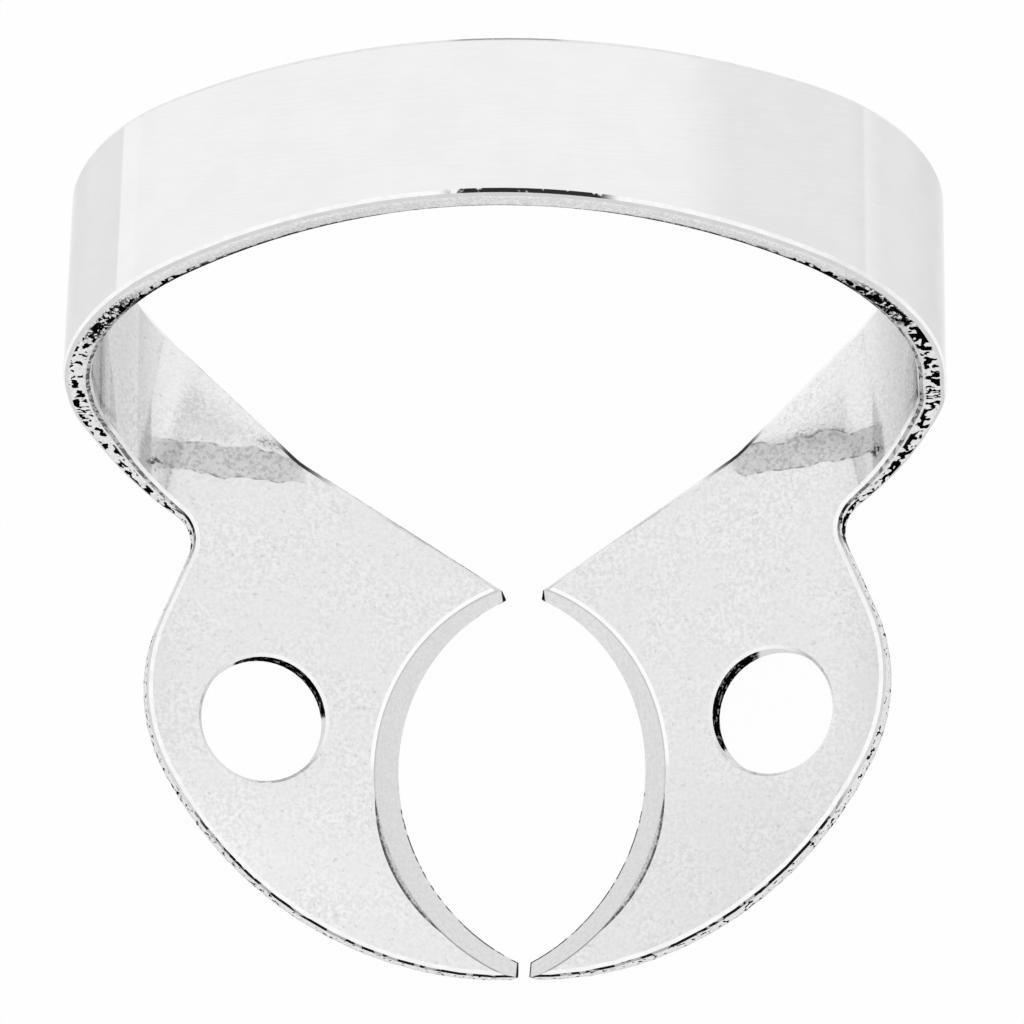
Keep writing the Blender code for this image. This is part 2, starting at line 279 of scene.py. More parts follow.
# %% Directions of the ground bevel and of the crescent
GRIND_DEPTH = 0.0006
TOUCH_UP_CENTRE = Vector((-0.00031, -0.00083))
TOUCH_UP_RADIUS = 0.00415
TOUCH_UP_ANGLE = radians(14.0)


def off_jaw(flat, place):
    """Turn a direction given on the flat jaw into one in space."""
    side = 1 if place.x > 0 else -1
    along = Vector((side * cos(JAW_SLOPE), 0, sin(JAW_SLOPE)))
    up = Vector((-side * sin(JAW_SLOPE), 0, cos(JAW_SLOPE)))
    return (along * flat[0] + Vector((0, 1, 0)) * flat[1] + up * flat[2]).normalized()


def bevel_direction(place):
    """Direction of the ground bevel."""
    share = 1 - sheet_at(place)[1] / GRIND_DEPTH
    spoke = (on_flat_jaw(place) - TOOTH_CENTRE.lerp(GRIND_CENTRE, share)).normalized()
    opening = spoke.dot(GRIND_CENTRE - TOOTH_CENTRE) + GRIND_RADIUS - TOOTH_RADIUS
    return off_jaw((-spoke.x, -spoke.y, opening / GRIND_DEPTH), place)


def crescent_direction(place):
    """Direction of the crescent."""
    spoke = (on_flat_jaw(place) - TOUCH_UP_CENTRE).normalized()
    return off_jaw((-spoke.x * tan(TOUCH_UP_ANGLE), -spoke.y * tan(TOUCH_UP_ANGLE), 1), place)


middle_of_arc = Vector((0.003, 0, 0.0015))
lean_there = bevel_direction(middle_of_arc).angle(sheet_direction(middle_of_arc))
print("lean of the bevel at the middle of the arc:", round(degrees(lean_there)), "degrees")

# %% Lend the faces their exact directions
EXACT = {"satin_jaw": sheet_direction, "polished_bow": sheet_direction,
         "bow_inside": sheet_direction, "ground_bevel": bevel_direction,
         "touched_up": crescent_direction}

clamp.data.shade_smooth()
bpy.ops.object.shade_smooth_by_angle(angle=radians(20.0))
directions = [Vector(corner.vector) for corner in clamp.data.corner_normals]
for face, name in zip(clamp.data.polygons, face_finish):
    if name in EXACT:
        for loop, corner in zip(face.loop_indices, face.vertices):
            direction = EXACT[name](clamp.data.vertices[corner].co)
            directions[loop] = direction if direction.dot(face.normal) > 0 else -direction
clamp.data.normals_split_custom_set(directions)
print("corners given a direction:", len(directions))

# %% [markdown]
# ## The camera
# The picture is taken from high up with a long lens, so that the two jaws and the bow are drawn
# almost without perspective. The camera leans 14 degrees towards the jaws and 4 degrees to the
# right, which shows the front of the bow and the fronts of the jaws edge on.

# %% Place the camera
CAMERA_TARGET = Vector((-0.00013, 0.00634, 0.002685))
CAMERA_TILT = radians(13.8)
CAMERA_YAW = radians(4.0)
CAMERA_DISTANCE = 0.1727
CAMERA_LENS = 239.8

towards_camera = Vector((sin(CAMERA_YAW), -sin(CAMERA_TILT) * cos(CAMERA_YAW),
                         cos(CAMERA_TILT) * cos(CAMERA_YAW)))
towards_camera.normalize()
lens = bpy.data.cameras.new("camera")
lens.sensor_width = 36.0
lens.lens = CAMERA_LENS
lens.clip_start = 0.005
lens.clip_end = 5.0
camera = bpy.data.objects.new("camera", lens)
bpy.context.scene.collection.objects.link(camera)
camera.location = CAMERA_TARGET + towards_camera * CAMERA_DISTANCE
across = Vector((0, 1, 0)).cross(towards_camera).normalized()
upward = towards_camera.cross(across)
camera.rotation_euler = Matrix((across, upward, towards_camera)).transposed().to_euler()
bpy.context.scene.camera = camera
print("camera at", [round(value, 4) for value in camera.location])

# %% [markdown]
# ## Building with shader nodes
# Every finish below is a small net of nodes that works from the place on the object, so the marks
# stay where they are from any side. A few helpers keep the nets short. The first adds a node and
# wires it, and the next ones do sums.

# %% Helpers for sums
def add_node(tree, kind, inputs, **options):
    """Add a node with its options, and feed its inputs with numbers or with outputs of others."""
    node = tree.nodes.new(kind)
    for option, choice in options.items():
        setattr(node, option, choice)
    for name, feed in inputs.items():
        if isinstance(feed, bpy.types.NodeSocket):
            tree.links.new(feed, node.inputs[name])
        else:
            node.inputs[name].default_value = feed
    return node


def sum_of(tree, operation, first, *others):
    """The same step of arithmetic, done with one number after the other."""
    for other in others:
        inputs = {0: first, 1: other}
        first = add_node(tree, "ShaderNodeMath", inputs, operation=operation).outputs[0]
    return first


def plus(tree, *numbers):
    """All the numbers added up."""
    return sum_of(tree, "ADD", *numbers)


def minus(tree, first, second):
    """The first number less the second."""
    return sum_of(tree, "SUBTRACT", first, second)


def times(tree, *numbers):
    """All the numbers multiplied."""
    return sum_of(tree, "MULTIPLY", *numbers)


def largest(tree, *numbers):
    """The largest of the numbers."""
    return sum_of(tree, "MAXIMUM", *numbers)


def off(tree, number, middle):
    """How far a number is from a middle, on either side."""
    return sum_of(tree, "ABSOLUTE", minus(tree, number, middle), 0.0)


print("helpers for sums are ready")

# %% [markdown]
# Marks on steel have soft borders. So a second set of helpers blends smoothly: from one value to
# another, within a reach, or over a stretch. The last ones give a grainy noise whose grain has a
# size in metres, and sharpen it into patches.

# %% Helpers for soft borders and for grain
def blend(tree, number, start, end, low=0.0, high=1.0):
    """Run smoothly from low to high while the number goes from start to end."""
    inputs = {"Value": number, "From Min": start, "From Max": end, "To Min": low, "To Max": high}
    return add_node(tree, "ShaderNodeMapRange", inputs, interpolation_type="SMOOTHSTEP").outputs[0]


def between(tree, share, low, high):
    """Run smoothly from low to high while a share goes from 0 to 1."""
    return blend(tree, share, 0.0, 1.0, low, high)


def within(tree, distance, reach, soft):
    """1 within a reach and 0 beyond it, with a soft border."""
    return blend(tree, distance, reach + soft, reach - soft)


def stretch(tree, number, start, full, fading, end):
    """Rise from 0 to 1 between start and full, and fall again between fading and end."""
    return times(tree, blend(tree, number, start, full), blend(tree, number, end, fading))


def grain(tree, size, detail=2.0, squeeze=(1, 1, 1), turn=(0, 0, 0)):
    """Noise with grains of a size, which can be turned and squeezed."""
    place = tree.nodes.new("ShaderNodeTexCoord").outputs["Object"]
    inputs = {"Vector": place, "Rotation": turn, "Scale": squeeze}
    laid = add_node(tree, "ShaderNodeMapping", inputs).outputs[0]
    inputs = {"Vector": laid, "Scale": 1 / size, "Detail": detail, "Roughness": 0.6}
    return add_node(tree, "ShaderNodeTexNoise", inputs).outputs["Fac"]


def patches(tree, size, start, end, low=0.0, high=1.0, detail=1.0):
    """Grain that is sharpened into patches: low below start, high above end."""
    return blend(tree, grain(tree, size, detail), start, end, low, high)


print("helpers for soft borders and for grain are ready")

# %% [markdown]
# The marks are laid out on the clamp itself, so the next helpers tell where a place is: its X, Y
# and Z, how far out it is from the middle plane, its depth in the sheet, and its distance from a
# centre on the flat of the jaw.

# %% Helpers for the place on the clamp
def place_on_clamp(tree):
    """The place on the clamp, with its x, y and z."""
    place = tree.nodes.new("ShaderNodeTexCoord").outputs["Object"]
    axes = add_node(tree, "ShaderNodeSeparateXYZ", {0: place}).outputs
    return SimpleNamespace(x=axes["X"], y=axes["Y"], z=axes["Z"])


def out_from_middle(tree, at):
    """How far out a place is from the plane between the jaws."""
    return off(tree, at.x, 0.0)


def depth_in_sheet(tree):
    """How deep a place lies in the sheet, from 0 at the upper or inner face to 1 at the other."""
    return add_node(tree, "ShaderNodeAttribute", {}, attribute_name="depth").outputs["Fac"]


def distance_on_jaw(tree, centre):
    """Distance from a centre on the flat of the jaw."""
    at = place_on_clamp(tree)
    out, level = out_from_middle(tree, at), plus(tree, at.z, PRONG_LEVEL)
    u = plus(tree, times(tree, out, cos(JAW_SLOPE)), times(tree, level, sin(JAW_SLOPE)))
    flat = add_node(tree, "ShaderNodeCombineXYZ", {"X": u, "Y": at.y}).outputs[0]
    inputs = {0: flat, 1: (centre.x, centre.y, 0)}
    return add_node(tree, "ShaderNodeVectorMath", inputs, operation="DISTANCE").outputs["Value"]


print("helpers for the place on the clamp are ready")

# %% [markdown]
# ## Bare steel
# All ten finishes are the same bare metal, and differ in tone, roughness and fine relief. The
# very tips of the prongs are darker, whichever face they fall on, so the darkening is part of
# the steel itself. Metal that is dark from the front would still flash at a grazing angle. The
# tint of the reflection is therefore darkened too, so a black pit stays black from the side.

# %% Steel and its finish
STEEL = {}
TIP_FRONT = 0.00018
TIP_BACK = 0.00054


def new_steel(name):
    """Start a steel finish, and return its net and its shader."""
    material = bpy.data.materials.new(name)
    material.use_nodes = True
    STEEL[name] = material
    shader = material.node_tree.nodes["Principled BSDF"]
    shader.inputs["Metallic"].default_value = 1.0
    return material.node_tree, shader


def darker_tips(tree):
    """Where the very tips of the prongs are darker."""
    at = place_on_clamp(tree)
    tip = blend(tree, at.y, 0.0, 0.002, TIP_FRONT, TIP_BACK)
    past_tip = minus(tree, out_from_middle(tree, at), tip)
    return times(tree, blend(tree, past_tip, 0.00003, -0.00002), blend(tree, at.y, 0.006, 0.0055))


def finish_steel(tree, shader, tone, roughness, height, bump):
    """Wire the tone, the roughness and a fine bump into the shader."""
    tone = times(tree, tone, between(tree, darker_tips(tree), 1.0, 0.05))
    tree.links.new(tone, shader.inputs["Base Color"])
    tree.links.new(blend(tree, tone, 0.0, 0.85), shader.inputs["Specular Tint"])
    tree.links.new(roughness, shader.inputs["Roughness"])
    inputs = {"Height": height, "Strength": bump, "Distance": 0.000002}
    surface = add_node(tree, "ShaderNodeBump", inputs)
    tree.links.new(surface.outputs[0], shader.inputs["Normal"])


print("finishes to make:", len(FINISHES))

# %% [markdown]
# ## Satin jaws and arms
# The upper and the under faces of the jaws and the inner faces of the arms are polished steel
# with a fine speckle, left by tumbling the clamps in a barrel. The grains are about a tenth of a
# millimetre, with a darker speck here and there. The front of the left jaw is painted a shade
# brighter than that of the right one, as painted light. Where the jaw meets the ground bevel, the
# polishing wheel has rounded the edge a little, and the highlight of that edge is painted as a
# white line along the back half of the arc. The line is drawn by its distance from the centre of
# the grinding, because a fillet so slender is finer than the mesh. It is on the upper face only.

# %% Satin jaws
SPECKLE = 0.0001
SPECK = 0.00014
CLOUD = 0.0016
SATIN_TONE = 0.82
HIGHLIGHT_LINE_REACH = 0.00011

tree, shader = new_steel("satin_jaw")
at = place_on_clamp(tree)
out = out_from_middle(tree, at)
upper = blend(tree, depth_in_sheet(tree), 0.4, 0.1)
speckle = patches(tree, SPECKLE, 0.32, 0.68, detail=2.0)
cloud = patches(tree, CLOUD, 0.35, 0.65, 0.4, 1.0)
specks = patches(tree, SPECK, 0.66, 0.74)
satin = plus(tree, times(tree, minus(tree, speckle, 0.5), cloud, 0.15), SATIN_TONE)
satin = minus(tree, satin, times(tree, specks, 0.12))
# Painted light: the front of the left jaw is painted brighter and that of the right jaw darker.
painted_light_left_front = times(tree, at.x, -10.0, blend(tree, at.y, 0.001, -0.003))
satin = times(tree, satin, plus(tree, painted_light_left_front, 1.0))
# Painted highlight: a white line where the rounded edge of the jaw meets the ground bevel.
wear_and_painted_highlight = within(tree, distance_on_jaw(tree, GRIND_CENTRE), GRIND_RADIUS + HIGHLIGHT_LINE_REACH, 0.00002)
wear_and_painted_highlight = times(tree, wear_and_painted_highlight, blend(tree, at.y, -0.0012, 0.0002), blend(tree, at.z, 0.004, 0.003), upper)
satin = largest(tree, satin, wear_and_painted_highlight)
print("nodes so far:", len(tree.nodes))

# %% [markdown]
# A band across each arm, just where the jaw begins to rise, is a painted reflection of the bow
# above it. It is about three quarters of a millimetre wide, wavy, a little rougher than the satin,
# and spotted with darker grains. Darker dots follow its borders, and it ends in a small dark smudge
# beside the front rim of the arm.

# %% Painted reflection band across the arms
BAND_MIDDLE = 0.00766
BAND_RISE = 0.00014
BAND_HALF_WIDTH = 0.00038
BAND_WAVE = 0.0005
BAND_WAVE_LENGTH = 0.0009
BAND_STRETCH = (0.0053, 0.0057, 0.0089, 0.0094)
BAND_SPOT = 0.00011
SMUDGE_OUT = 0.0091
SMUDGE_Y = 0.00752

# Painted reflection: the band darkens the arm where the bow would be seen mirrored in it.
wave = times(tree, minus(tree, grain(tree, BAND_WAVE_LENGTH, 1.0), 0.5), BAND_WAVE)
rising = blend(tree, out, 0.0066, 0.0084, BAND_MIDDLE, BAND_MIDDLE + BAND_RISE)
off_middle = off(tree, plus(tree, at.y, wave), rising)
band = within(tree, off_middle, BAND_HALF_WIDTH, 0.00003)
band = times(tree, band, stretch(tree, out, *BAND_STRETCH))
spots = times(tree, patches(tree, BAND_SPOT, 0.45, 0.68), band)
border = within(tree, off(tree, off_middle, BAND_HALF_WIDTH), 0.00003, 0.00002)
border = times(tree, border, band, patches(tree, 0.0002, 0.48, 0.56))
from_smudge = plus(tree, off(tree, out, SMUDGE_OUT), off(tree, at.y, SMUDGE_Y))
smudge = times(tree, within(tree, from_smudge, 0.0002, 0.0001), patches(tree, 0.0001, 0.42, 0.54))
painted_band_and_smudge = plus(tree, times(tree, band, 0.2), times(tree, spots, 0.2), times(tree, border, 0.5))
painted_band_and_smudge = times(tree, largest(tree, painted_band_and_smudge, times(tree, smudge, 0.8)), upper)
print("width of the band in mm:", 2000 * BAND_HALF_WIDTH)

# %% [markdown]
# Above the band the arm is darkened with painted shade, more so towards its outer side and on the
# right arm. A patch behind the band, near the back rim, is painted brighter, as painted light.
# Along the front rim of the arm a thin dotted stripe of painted shadow leans with the rim.

# %% Shade of the arms
ARM_FRONT = 0.00774
ARM_FRONT_LEAN = 0.14
STRIPE_HALF_WIDTH = 0.0001
STRIPE_STRETCH = (0.0046, 0.0054, 0.0082, 0.0092)
SATIN_ARM_SHADE = 0.86
PAINTED_LIGHT_GAIN = 0.13

# Painted light: a brighter patch behind the band, near the back rim.
painted_light_patch = times(tree, blend(tree, at.y, 0.0080, 0.0083), blend(tree, at.z, 0.0042, 0.0034), upper)
# Painted shadow: a thin dotted stripe along the front rim of the arm.
front_rim = plus(tree, times(tree, at.z, ARM_FRONT_LEAN), ARM_FRONT)
painted_shadow_stripe = within(tree, off(tree, at.y, front_rim), STRIPE_HALF_WIDTH, 0.00004)
painted_shadow_stripe = times(tree, painted_shadow_stripe, stretch(tree, at.z, *STRIPE_STRETCH),
               patches(tree, 0.00012, 0.4, 0.6, 0.06, 0.2))
# Painted shade: the arm is darker above the band, towards its outer side and on the right arm.
shade = plus(tree, blend(tree, at.z, 0.0036, 0.0046, 1.0, SATIN_ARM_SHADE),
             times(tree, painted_light_patch, PAINTED_LIGHT_GAIN))
shade = minus(tree, shade, blend(tree, out, 0.0078, 0.0096, 0.0, 0.05))
shade = minus(tree, shade, blend(tree, at.x, 0.0078, 0.0094, 0.0, 0.06))
shade = minus(tree, minus(tree, shade, painted_shadow_stripe), painted_band_and_smudge)
roughness = plus(tree, between(tree, speckle, 0.04, 0.08), times(tree, band, 0.06))
finish_steel(tree, shader, times(tree, satin, shade), roughness, speckle, 0.12)
print("nodes in the satin finish:", len(tree.nodes))

# %% [markdown]
# ## The polished outside
# The outer face of the bow and the outsides of the arms are smoother. The last belt ran along the
# band and left hair-fine lines, which are noise drawn out along the sheet: the band leans 14
# degrees, so the noise is turned by as much before it is squeezed across the band.

# %% Polished outside
HAIR = 0.0008
HAZE = 0.0014


def hair_lines(tree, size, squeeze):
    """Fine lines along the band of the bow."""
    drawn_out = grain(tree, size, 3.0, (1, squeeze, 1), (BOW_LEAN, 0, 0))
    return blend(tree, drawn_out, 0.3, 0.7)


tree, shader = new_steel("polished_bow")
at = place_on_clamp(tree)
out = out_from_middle(tree, at)
hair = hair_lines(tree, HAIR, 14)
haze = patches(tree, HAZE, 0.35, 0.65, detail=2.0)
mottle = plus(tree, times(tree, hair, 0.5), times(tree, haze, 0.5))
bare = between(tree, mottle, 0.885, 0.915)
print("nodes so far:", len(tree.nodes))

# %% [markdown]
# The arms are painted a shade darker than the crown, as painted shade where the shoulders turn
# down. On one shoulder it starts at a sharp border, with a painted highlight line beside it; on
# the other shoulder the shade fades in slowly. Past it the arms turn away, and are painted darker
# still.

# %% Painted shade on the arms of the bow
SHADE_BORDER_X = 0.0091
HIGHLIGHT_LINE_OFFSET = 0.00006
BOW_ARM_SHADE = 0.86
TURNED_AWAY_SHADE = 0.92

# Painted shade: the arms of the bow are darker past a sharp border on one side and a soft one on
# the other.
sharp_shade_border = blend(tree, at.x, -SHADE_BORDER_X, -SHADE_BORDER_X - 0.0001)
soft_shade_border = blend(tree, at.x, SHADE_BORDER_X - 0.0006, SHADE_BORDER_X + 0.0006)
painted_arm_shade = largest(tree, sharp_shade_border, soft_shade_border)
# Painted highlight: a bright line beside the sharp border of the painted shade.
painted_highlight_line = within(tree, off(tree, at.x, HIGHLIGHT_LINE_OFFSET - SHADE_BORDER_X), 0.00004, 0.00002)
painted_highlight_line = times(tree, painted_highlight_line, blend(tree, at.y, 0.0118, 0.0126, 0.25, 0.9))
tone = times(tree, bare, between(tree, painted_arm_shade, 1.0, BOW_ARM_SHADE),
             blend(tree, out, 0.0099, 0.0108, 1.0, TURNED_AWAY_SHADE))
tone = largest(tree, tone, painted_highlight_line)
finish_steel(tree, shader, tone, between(tree, hair, 0.05, 0.1), hair, 0.15)
print("nodes in the polished finish:", len(tree.nodes))

# %% [markdown]
# The hollow side of the bow is painted brighter than the rest of the steel, as painted light that
# lifts the shade under the bow. It is seen from below, and as a pale reflection in the arms.

# %% Inside of the bow
tree, shader = new_steel("bow_inside")
rolled = hair_lines(tree, 0.0005, 10)
# Painted light: the inside is toned brighter than the rest of the steel.
tone = between(tree, rolled, 0.93, 0.97)
finish_steel(tree, shader, tone, between(tree, rolled, 0.08, 0.14), rolled, 0.15)
print("nodes in the inside finish:", len(tree.nodes))

# %% [markdown]
# ## Rims
# Polishing rounds the rims of the sheet. Next to the broad face each rim is painted bright, as a
# painted highlight, and towards the wall it drops into a thin line of painted dark reflection. Two
# places of the painted highlight are dark: on the back rim of each jaw, where the painted
# reflection band meets it, and a line along the crown of the bow, a little to the right of its
# middle. The back rim of the bow has a shorter and thinner line, and its painted highlight is
# greyer.

# %% Painted highlight on the rims
BAND_END_STRETCH = (0.0045, 0.0055, 0.0058, 0.0064)
CROWN_LINE_X = 0.0011
CROWN_LINE_HALF = 0.0019
BACK_IS_SHORTER = 0.0006
BACK_RIM_TONE = 0.86

tree, shader = new_steel("painted_highlight_rim")
at = place_on_clamp(tree)
out = out_from_middle(tree, at)
rub = patches(tree, 0.0003, 0.35, 0.65, detail=2.0)
# Painted reflection: the band across the arm darkens the back rim where it meets it.
band_end_on_rim = times(tree, stretch(tree, out, *BAND_END_STRETCH),
             blend(tree, at.y, 0.0065, 0.0069), blend(tree, at.z, 0.0045, 0.0035))
at_back = blend(tree, at.y, 0.0126, 0.0134)
shorter = times(tree, at_back, BACK_IS_SHORTER)
off_line = plus(tree, off(tree, plus(tree, at.x, shorter), CROWN_LINE_X), shorter)
crown = times(tree, within(tree, off_line, CROWN_LINE_HALF, 0.0003),
              blend(tree, at.z, 0.012, 0.013), patches(tree, 0.0003, 0.3, 0.4, detail=2.0))
thinner = times(tree, at_back, blend(tree, depth_in_sheet(tree), 0.965, 0.985, 0.4, 1.0))
crown = times(tree, crown, minus(tree, 1.0, thinner))
band_end_and_crown_line = largest(tree, times(tree, band_end_on_rim, 0.95), times(tree, crown, 0.97))
# Painted highlight: the rim is toned brighter than the faces beside it.
tone = times(tree, between(tree, rub, 0.94, 1.0), minus(tree, 1.0, band_end_and_crown_line),
             between(tree, at_back, 1.0, BACK_RIM_TONE))
finish_steel(tree, shader, tone, between(tree, rub, 0.26, 0.34), rub, 0.1)
print("nodes in the bright rim:", len(tree.nodes))

# %% [markdown]
# The dark line is a painted reflection of the dark surroundings in the rounded rim. It is nearly
# black along the fronts of the jaws and in the necks, where it breaks up into dashes, dotted along
# the arms, and dark again along the inner rim of the bow on both sides of its crown. Elsewhere, and
# on the outer rims, it is pale grey.

# %% Painted dark line
DASH_LENGTH = 0.0005
NECK_STRETCH = (0.0048, 0.0054, 0.006, 0.0068)
PALE_LINE = 0.74
BLACK_LINE = 0.02

tree, shader = new_steel("painted_dark_line")
at = place_on_clamp(tree)
out = out_from_middle(tree, at)
dashes = patches(tree, DASH_LENGTH, 0.56, 0.48, detail=2.0)
at_front = blend(tree, at.y, -0.0007, -0.0022)
at_neck = stretch(tree, at.y, *NECK_STRETCH)
at_arm = times(tree, blend(tree, at.y, 0.005, 0.0066),
               patches(tree, 0.00014, 0.45, 0.6, 0.3, 0.62))
at_bow = times(tree, blend(tree, at.z, 0.0104, 0.0114), blend(tree, out, 0.0016, 0.0034))
inner = blend(tree, depth_in_sheet(tree), 0.7, 0.4)
dark = times(tree, largest(tree, at_front, at_neck, at_arm, at_bow), inner)
dark = times(tree, dark, blend(tree, largest(tree, dashes, at_arm), 0.0, 0.5, 0.35, 1.0))
# Painted reflection: the line is toned from pale grey to nearly black.
tone = blend(tree, dark, 0.0, 0.9, PALE_LINE, BLACK_LINE)
finish_steel(tree, shader, tone, between(tree, dashes, 0.4, 0.5), dashes, 0.3)
print("nodes in the dark line:", len(tree.nodes))

# %% [markdown]
# ## Walls left by the punch
# The punch tears the lower part of the sheet as it goes through, and the walls stay grey and
# rough. On the jaws only a few small pits are black. On the arms the tear is deep: a row of black
# dashes runs along the middle of the wall, a little denser on the right. Where the arms turn into
# the bow it closes up to a crushed, dark patch, and along the bow it fades out at the inner rim.
# The depth attribute tells where the row lies in the wall, and the place on the clamp tells how
# dense it is.

# %% Torn rows
TEAR = 0.0002
CRUSHED_STRETCH = (0.0094, 0.0102, 0.0108, 0.0118)
CRUSHED_GRAIN = 0.00009

tree, shader = new_steel("sheared_wall")
at = place_on_clamp(tree)
out = out_from_middle(tree, at)
depth = depth_in_sheet(tree)
denser = blend(tree, at.x, -0.001, 0.001, -0.02, 0.01)
tears = plus(tree, grain(tree, TEAR, 1.0), denser)
row_middle = blend(tree, at.z, 0.0124, 0.0094, 0.05, 0.56)
row_half = blend(tree, at.z, 0.0042, 0.0034, 0.27, 0.2)
row = within(tree, minus(tree, off(tree, depth, row_middle), row_half), 0.0, 0.04)
on_arm = times(tree, blend(tree, out, 0.0056, 0.0076), blend(tree, at.y, 0.0046, 0.006))
dashes = times(tree, blend(tree, tears, 0.5, 0.53), row, on_arm)
crushed = times(tree, stretch(tree, at.z, *CRUSHED_STRETCH), blend(tree, depth, 0.85, 0.65),
                patches(tree, CRUSHED_GRAIN, 0.42, 0.52, detail=2.0))
print("nodes so far:", len(tree.nodes))

# %% Pits, lip and dust
PIT = 0.00015
DUST = 0.00007

pits = times(tree, patches(tree, PIT, 0.6, 0.65), blend(tree, at.y, 0.0075, 0.006))
lip = times(tree, blend(tree, depth, 0.3, 0.2), blend(tree, at.z, 0.0104, 0.0112),
            blend(tree, out, 0.0016, 0.0046, 0.0, 0.85),
            patches(tree, 0.00012, 0.42, 0.52, 0.3, 1.0))
black = largest(tree, dashes, crushed, pits, lip)
dust = patches(tree, DUST, 0.35, 0.65, 0.72, 0.88, detail=2.0)
tone = times(tree, dust, between(tree, black, 1.0, 0.01))
finish_steel(tree, shader, tone, blend(tree, tears, 0.3, 0.7, 0.25, 0.4), tears, 1.0)
print("nodes in the sheared wall:", len(tree.nodes))

# %% [markdown]
# ## Walls of the forceps holes
# The holes are pierced with a small punch, and their walls are the darkest places of the clamp.
# One side of each wall is painted black as the shade inside the hole, broken by torn streaks, and
# the rest is plain steel. In the left hole that side is the back, a little towards the tooth, and
# in the right hole it is the side of the tooth.

# %% Pierced walls
HOLE_X = 0.00644
STREAK = 0.00016

tree, shader = new_steel("pierced_wall")
at = place_on_clamp(tree)
out = out_from_middle(tree, at)
right = blend(tree, at.x, -0.001, 0.001)
inward = times(tree, minus(tree, HOLE_X, out), between(tree, right, 0.5, 0.94))
backward = times(tree, minus(tree, at.y, HOLE_CENTRE.y), between(tree, right, 0.87, 0.34))
towards = plus(tree, inward, backward)
# Painted shade: one side of each hole wall is black.
painted_shade_side = blend(tree, towards, 0.5 * HOLE_RADIUS, 0.6 * HOLE_RADIUS)
streaks = patches(tree, STREAK, 0.62, 0.56, detail=2.0)
dark = times(tree, painted_shade_side, between(tree, streaks, 0.6, 1.0))
tone = between(tree, dark, 0.8, 0.005)
finish_steel(tree, shader, tone, between(tree, streaks, 0.5, 0.55), streaks, 1.0)
print("nodes in the pierced wall:", len(tree.nodes))

# %% [markdown]
# ## The ground bevel
# The bevel that grips the tooth comes straight from the grinding wheel and isn't polished, so it is
# an even mid grey with fine scratches. A darker line of painted shade runs along its upper border,
# stronger towards the front. Along its free edge, the front half has a thin burr, which is a dark
# broken line.

# %% Ground bevel
SCRATCH = 0.00012
BURR = 0.0003

tree, shader = new_steel("ground_bevel")
at = place_on_clamp(tree)
scratches = patches(tree, SCRATCH, 0.3, 0.7, detail=2.0)
from_grind = distance_on_jaw(tree, GRIND_CENTRE)
# Painted shade: a darker line along the upper border of the bevel, stronger towards the front.
border = times(tree, blend(tree, from_grind, GRIND_RADIUS - 0.00007, GRIND_RADIUS - 0.00001),
               blend(tree, at.y, -0.001, -0.0026, 0.22, 0.6))
burr = within(tree, distance_on_jaw(tree, TOOTH_CENTRE), TOOTH_RADIUS + 0.00004, 0.00002)
burr = times(tree, burr, blend(tree, at.y, 0.0002, -0.0012), patches(tree, BURR, 0.42, 0.5))
tone = times(tree, between(tree, scratches, 0.71, 0.81), minus(tree, 1.0, border),
             between(tree, burr, 1.0, 0.12))
finish_steel(tree, shader, tone, between(tree, scratches, 0.2, 0.34), scratches, 0.8)
print("nodes in the ground bevel:", len(tree.nodes))

# %% [markdown]
# ## The touched-up crescent
# Near the front prongs a smaller wheel has broken the upper border of the bevel, in a crescent less
# than a tenth of a millimetre deep. It was left as it came off the wheel, soft grey and dotted,
# with a dark broken line along its outer border.

# %% Touched-up crescent
DOT = 0.00006
BROKEN_LINE = 0.0002

tree, shader = new_steel("touched_up")
at = place_on_clamp(tree)
dots = patches(tree, DOT, 0.35, 0.65, detail=2.0)
from_touch_up = distance_on_jaw(tree, TOUCH_UP_CENTRE)
outer = blend(tree, from_touch_up, TOUCH_UP_RADIUS - 0.0001, TOUCH_UP_RADIUS - 0.00004)
outer = times(tree, outer, patches(tree, BROKEN_LINE, 0.36, 0.5, 0.45, 1.0))
dark = plus(tree, between(tree, dots, 0.5, 0.2), times(tree, outer, 0.55))
dark = times(tree, dark, blend(tree, at.y, -0.0002, -0.0008))
tone = between(tree, dark, 0.8, 0.1)
finish_steel(tree, shader, tone, between(tree, dots, 0.3, 0.4), dots, 1.0)
print("nodes in the crescent:", len(tree.nodes))

# %% [markdown]
# ## The free edge of the tooth arc
# What is left of the sheet under the bevel is a wall a tenth of a millimetre high. It is the
# working edge, bright where it is worn and dark where the burr still sits.

# %% Tooth edge
tree, shader = new_steel("tooth_edge")
wear_and_painted_highlight = patches(tree, 0.0003, 0.45, 0.55, detail=2.0)
tone = between(tree, wear_and_painted_highlight, 0.2, 0.75)
finish_steel(tree, shader, tone, between(tree, wear_and_painted_highlight, 0.35, 0.15), wear_and_painted_highlight, 0.6)
print("nodes in the tooth edge:", len(tree.nodes))

# %% [markdown]
# The finishes are ready, and each face gets the one that it was given above. The slots are
# emptied first, which sets every face back to the first slot, so the numbers come last.

# %% Give every face its steel
clamp.data.materials.clear()
for name in FINISHES:
    clamp.data.materials.append(STEEL[name])
finish_numbers = [FINISHES.index(name) for name in face_finish]
clamp.data.polygons.foreach_set("material_index", finish_numbers)
clamp.data.update()
print("materials on the clamp:", [material.name for material in clamp.data.materials])

# %% [markdown]
# ## Floor and light
# The photograph is a bright catalogue picture on white. The floor is a plain pale sheet under the
# clamp, and to the camera it glows almost to white, so that only a breath of shadow is left. The
# steel reflects the same glow. The world is an even dome of light, a little darker low on the
# right, as if a grey card stood there. No lamp is needed: polished steel shows a lamp as a hard
# spot, and there is none in the real picture.

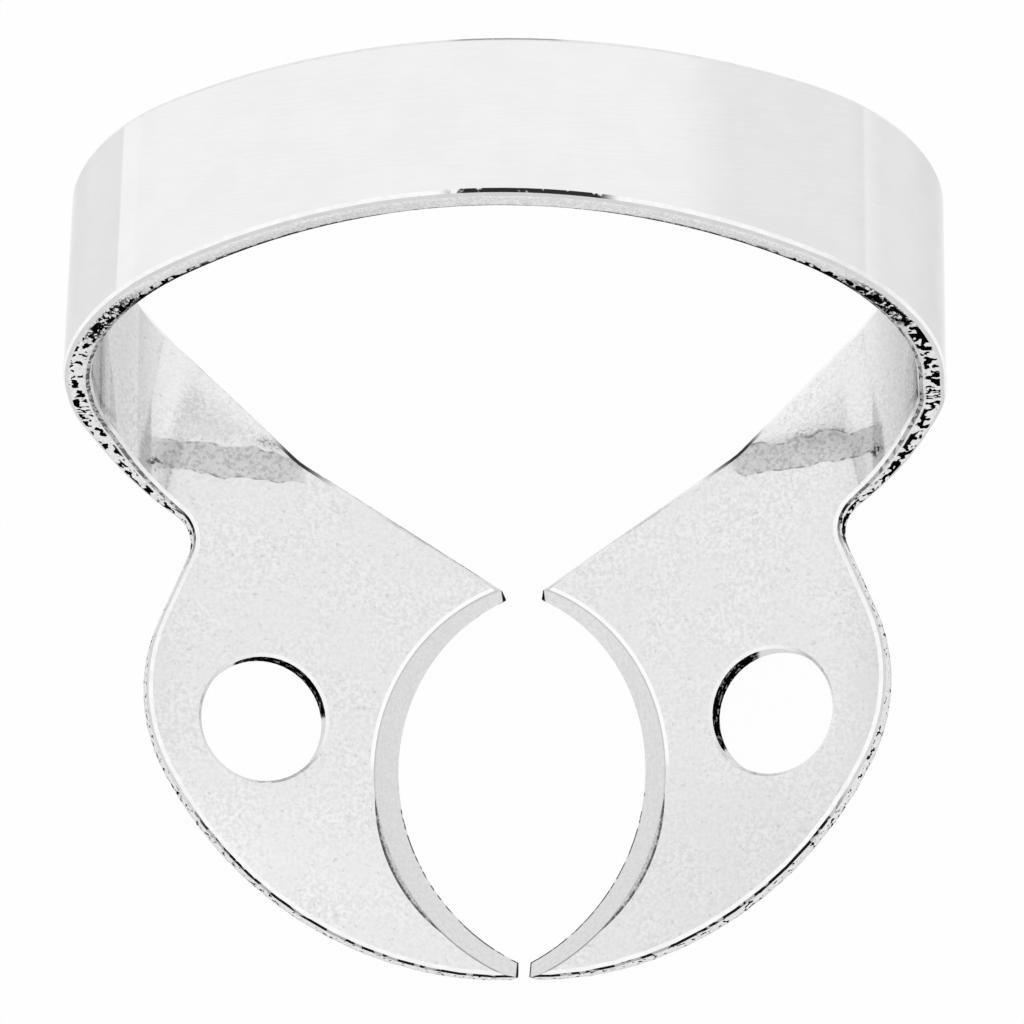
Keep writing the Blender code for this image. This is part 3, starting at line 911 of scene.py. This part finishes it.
# %% Pale floor
FLOOR_WIDTH = 0.8
FLOOR_DROP = 0.0002
GLOW_SHARE = 0.97

bpy.ops.object.select_all(action="DESELECT")
bpy.ops.mesh.primitive_plane_add(size=FLOOR_WIDTH, location=(0, 0, -FLOOR_DROP))
floor = bpy.context.object
floor.name = "floor"
paper = bpy.data.materials.new("white_floor")
paper.use_nodes = True
tree = paper.node_tree
shader = tree.nodes["Principled BSDF"]
shader.inputs["Base Color"].default_value = (0.8, 0.8, 0.8, 1)
shader.inputs["Roughness"].default_value = 0.9
shader.inputs["Specular IOR Level"].default_value = 0.1
ray = tree.nodes.new("ShaderNodeLightPath").outputs
seen = largest(tree, ray["Is Camera Ray"], ray["Is Glossy Ray"], ray["Is Transmission Ray"])
glow = add_node(tree, "ShaderNodeEmission", {"Color": (1, 1, 1, 1), "Strength": 1.0})
inputs = {0: times(tree, seen, GLOW_SHARE), 1: shader.outputs[0], 2: glow.outputs[0]}
mixed = add_node(tree, "ShaderNodeMixShader", inputs)
tree.links.new(mixed.outputs[0], tree.nodes["Material Output"].inputs[0])
floor.data.materials.append(paper)
print("floor is", floor.dimensions.x, "m wide")

# %% Even dome of light
DOME = 0.97
GREY_CARD = 0.87

world = bpy.data.worlds.new("studio")
bpy.context.scene.world = world
world.use_nodes = True
tree = world.node_tree
direction = tree.nodes.new("ShaderNodeTexCoord").outputs["Generated"]
axes = add_node(tree, "ShaderNodeSeparateXYZ", {0: direction}).outputs
card = times(tree, blend(tree, axes["X"], 0.3, 0.6), blend(tree, axes["Z"], 0.75, 0.55))
background = tree.nodes["Background"]
tree.links.new(between(tree, card, DOME, GREY_CARD), background.inputs["Color"])
bpy.context.scene.view_settings.view_transform = "Standard"
print("dome strength:", background.inputs["Strength"].default_value)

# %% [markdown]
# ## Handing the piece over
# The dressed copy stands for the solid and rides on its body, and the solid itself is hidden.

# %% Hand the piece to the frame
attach(clamp, "root")
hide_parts("dam_clamp")
